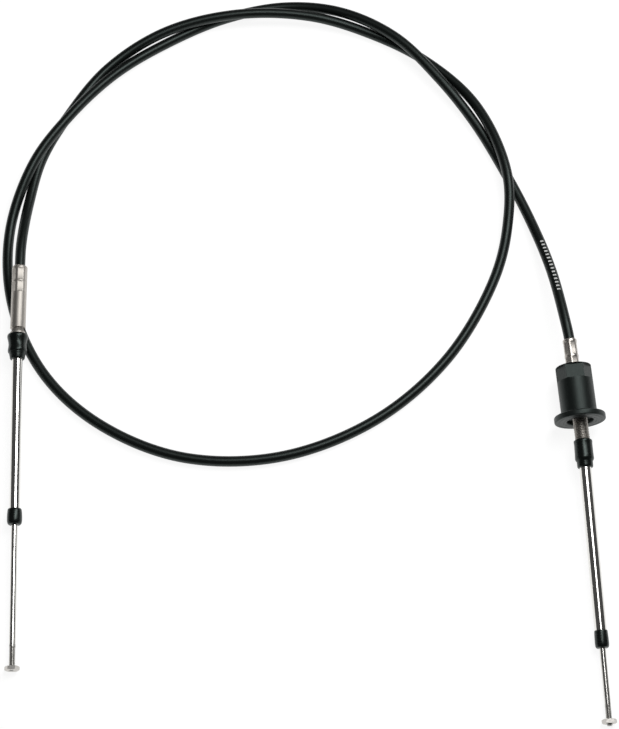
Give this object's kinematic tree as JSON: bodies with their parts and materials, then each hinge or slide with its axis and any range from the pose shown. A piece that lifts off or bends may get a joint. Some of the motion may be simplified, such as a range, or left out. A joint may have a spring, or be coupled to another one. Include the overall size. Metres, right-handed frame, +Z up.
{
  "type": "boat steering cable",
  "caption": "Push-pull steering cable with a black jacket, swivel tubes with sliding rods at both ends and a flanged hull fitting, lying in a loose loop.",
  "frame": {"origin": "on the floor, below the middle of the box of the two end fittings, the cable itself left out", "axes": "+X from the left end fitting to the right one, +Y from the rods' free ends towards the loop, +Z up"},
  "size_m": [0.4575, 0.5934, 0.0384],
  "materials": {
    "jacket": "satin extruded plastic",
    "satin_steel": "satin",
    "polished_steel": "polished",
    "plated_steel": "bright plated",
    "rubber": "moulded",
    "nylon": "fine grain"
  },
  "bodies": {
    "cable": {"conduit": "jacket", "left_hub": "satin_steel", "right_hub": "satin_steel", "hull_fitting": "nylon"},
    "left_swivel": {"left_tube": "polished_steel", "left_boot": "rubber", "left_seal": "rubber"},
    "left_plunger": {"left_rod": "polished_steel", "left_nut": "plated_steel"},
    "right_swivel": {"right_tube": "polished_steel", "right_boot": "rubber", "right_seal": "rubber"},
    "right_plunger": {"right_rod": "polished_steel", "right_nut": "plated_steel"}
  },
  "joints": [
    {"name": "left_ball", "type": "hinge", "parent": "cable", "child": "left_swivel", "pos_m": [-0.21662, 0.1206, 0.01531], "axis": [0.0005, -0.0411, 0.9992], "range_deg": [-8.9, 7.1]},
    {"name": "left_rod_slide", "type": "slide", "parent": "left_swivel", "child": "left_plunger", "axis": [0.0279, -0.9988, -0.0411], "range_m": [-0.077, 0.0246]},
    {"name": "right_ball", "type": "hinge", "parent": "cable", "child": "right_swivel", "pos_m": [0.20679, 0.03433, 0.0181], "axis": [0.0057, -0.0633, 0.998], "range_deg": [-5.9, 10.1]},
    {"name": "right_rod_slide", "type": "slide", "parent": "right_swivel", "child": "right_plunger", "axis": [0.0522, -0.9966, -0.0635], "range_m": [-0.0246, 0.077]}
  ],
  "couplings": [
    {"joint": "right_rod_slide", "follows": "left_rod_slide", "ratio": -1}
  ]
}
